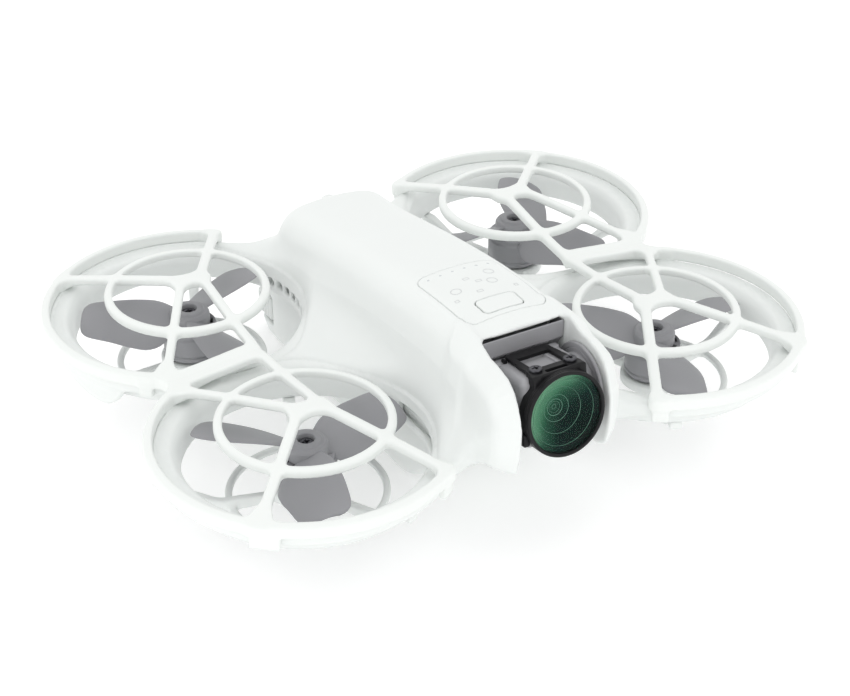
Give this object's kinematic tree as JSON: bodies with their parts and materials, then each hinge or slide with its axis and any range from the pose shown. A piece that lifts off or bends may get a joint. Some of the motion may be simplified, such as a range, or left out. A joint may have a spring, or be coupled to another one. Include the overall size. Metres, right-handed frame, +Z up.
{
  "type": "fpv racing drone",
  "caption": "Ducted micro quadcopter with propeller guards, broad-bladed rotors and a tilting nose camera that carries a round glass filter.",
  "frame": {"origin": "centre of the bounding box, on the ground under the flat belly", "axes": "nose and camera point along -Y, +X is the drone's left, +Z is up; the camera is pitched 10 degrees up at rest"},
  "size_m": [0.1568, 0.1278, 0.0485],
  "materials": {
    "shell_plastic": "fine satin grain",
    "guard_plastic": "satin",
    "panel_plastic": "satin",
    "button_plastic": "satin",
    "light_lens": "frosted",
    "screw_steel": "plated",
    "stator_copper": "enamelled copper",
    "motor_metal": "anodised grey",
    "prop_plastic": "smooth grey",
    "bay_plastic": "grey",
    "camera_plastic": "fine grey",
    "lens_black": "black anodised",
    "lens_glass": "dark coated glass",
    "filter_glass": "green coated glass",
    "circuit_board": "solder mask",
    "heat_aluminium": "rolled",
    "antenna_ceramic": "ceramic",
    "port_metal": "plated",
    "socket_plastic": "black",
    "battery_plastic": "satin",
    "cell_foil": "pouch foil"
  },
  "bodies": {
    "root": {"upper_shell": "shell_plastic", "lower_shell": "shell_plastic", "duct_front_left": "shell_plastic", "duct_front_right": "shell_plastic", "duct_rear_left": "shell_plastic", "duct_rear_right": "shell_plastic", "mount_front_left": "shell_plastic", "mount_front_right": "shell_plastic", "mount_rear_left": "shell_plastic", "mount_rear_right": "shell_plastic", "guard_left": "guard_plastic", "guard_right": "guard_plastic", "touch_panel": "panel_plastic", "status_lights": "light_lens", "motor_screws": "screw_steel", "shell_screws": "screw_steel", "stator_front_left": "stator_copper", "stator_front_right": "stator_copper", "stator_rear_left": "stator_copper", "stator_rear_right": "stator_copper", "tilt_motor": "motor_metal", "tilt_pin": "motor_metal", "bay_liner": "bay_plastic", "downward_lens": "lens_glass", "range_windows": "lens_glass", "main_board": "circuit_board", "power_board": "circuit_board", "heat_spreader": "heat_aluminium", "satellite_antenna": "antenna_ceramic", "radio_antennas": "antenna_ceramic", "charging_port": "port_metal", "battery_socket": "socket_plastic"},
    "rotor_front_left": {"motor_bell_front_left": "motor_metal", "propeller_front_left": "prop_plastic", "prop_screw_front_left": "screw_steel"},
    "rotor_front_right": {"motor_bell_front_right": "motor_metal", "propeller_front_right": "prop_plastic", "prop_screw_front_right": "screw_steel"},
    "rotor_rear_left": {"motor_bell_rear_left": "motor_metal", "propeller_rear_left": "prop_plastic", "prop_screw_rear_left": "screw_steel"},
    "rotor_rear_right": {"motor_bell_rear_right": "motor_metal", "propeller_rear_right": "prop_plastic", "prop_screw_rear_right": "screw_steel"},
    "camera": {"camera_housing": "camera_plastic", "camera_board": "circuit_board", "lens_barrel": "lens_black", "lens_glass": "lens_glass", "filter_ring": "lens_black", "filter_glass": "filter_glass", "filter_bracket": "lens_black", "filter_screws": "screw_steel"},
    "battery": {"battery_case": "battery_plastic", "battery_cells": "cell_foil", "battery_board": "circuit_board", "level_lights": "light_lens"},
    "latch_left": {"battery_latch_left": "battery_plastic"},
    "latch_right": {"battery_latch_right": "battery_plastic"},
    "mode_button": {"mode_button": "button_plastic"},
    "power_button": {"power_button": "button_plastic"}
  },
  "joints": [
    {"name": "spin_front_left", "type": "hinge", "parent": "root", "child": "rotor_front_left", "pos_m": [0.045, -0.03055, 0.0185], "axis": [0, 0, -1], "continuous": true},
    {"name": "spin_front_right", "type": "hinge", "parent": "root", "child": "rotor_front_right", "pos_m": [-0.045, -0.03055, 0.0185], "axis": [0, 0, 1], "continuous": true},
    {"name": "spin_rear_left", "type": "hinge", "parent": "root", "child": "rotor_rear_left", "pos_m": [0.045, 0.03055, 0.0185], "axis": [0, 0, 1], "continuous": true},
    {"name": "spin_rear_right", "type": "hinge", "parent": "root", "child": "rotor_rear_right", "pos_m": [-0.045, 0.03055, 0.0185], "axis": [0, 0, -1], "continuous": true},
    {"name": "camera_tilt", "type": "hinge", "parent": "root", "child": "camera", "pos_m": [0, -0.051, 0.035], "axis": [-1, 0, 0], "range_deg": [-60, 10]},
    {"name": "battery_slide", "type": "slide", "parent": "root", "child": "battery", "axis": [0, 1, 0], "range_m": [0, 0.07]},
    {"name": "latch_press_left", "type": "slide", "parent": "battery", "child": "latch_left", "axis": [-1, 0, 0], "range_m": [0, 0.001], "stiffness_N_per_m": 300, "springref_m": -0.0005},
    {"name": "latch_press_right", "type": "slide", "parent": "battery", "child": "latch_right", "axis": [1, 0, 0], "range_m": [0, 0.001], "stiffness_N_per_m": 300, "springref_m": -0.0005},
    {"name": "mode_press", "type": "slide", "parent": "root", "child": "mode_button", "axis": [0, 0, -1], "range_m": [0, 0.0004], "stiffness_N_per_m": 300, "springref_m": -0.0005},
    {"name": "power_press", "type": "slide", "parent": "root", "child": "power_button", "axis": [0, -1, 0], "range_m": [0, 0.0004], "stiffness_N_per_m": 300, "springref_m": -0.0005}
  ]
}
